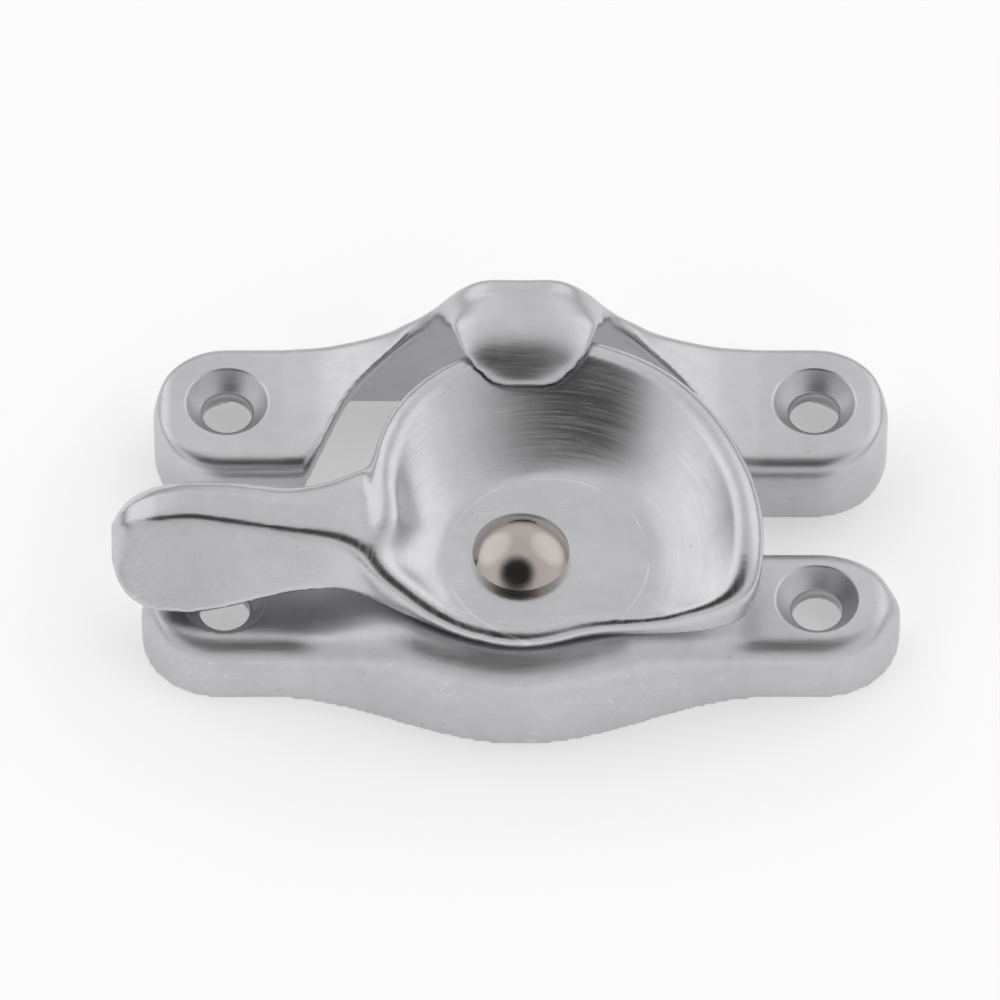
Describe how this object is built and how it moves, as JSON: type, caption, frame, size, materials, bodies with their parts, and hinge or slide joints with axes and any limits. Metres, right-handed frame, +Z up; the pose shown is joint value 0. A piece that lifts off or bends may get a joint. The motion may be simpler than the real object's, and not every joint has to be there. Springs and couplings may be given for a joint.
{
  "type": "cam sash fastener",
  "caption": "Surface-mounted sash window fastener: a base casting with a turning dished cam lever and domed pivot rivet, and an arched keep whose hook the cam rim draws in and locks",
  "frame": {"origin": "on the mounting plane, midway between the two screw holes of the base, on the pivot axis", "axes": "+X along the meeting rails towards the right, +Y from the base to the keep, +Z up, away from the window"},
  "size_m": [0.0719, 0.0409, 0.019],
  "materials": {
    "satin_casting": "cast brass with satin chrome plating, finely brushed",
    "polished_rivet": "polished nickel plated steel",
    "bright_steel": "zinc plated steel",
    "spring_steel": "blued spring steel"
  },
  "bodies": {
    "fixed": {"base_casting": "satin_casting", "keep_casting": "satin_casting", "bearing_washer": "bright_steel", "bow_spring": "spring_steel"},
    "lever": {"cam_lever": "satin_casting", "pivot_rivet": "polished_rivet", "index_plate": "bright_steel", "retaining_washer": "bright_steel"}
  },
  "joints": [
    {"name": "lever_turn", "type": "hinge", "parent": "fixed", "child": "lever", "pos_m": [0, 0, 0], "axis": [0, 0, 1], "range_deg": [0, 180]}
  ]
}
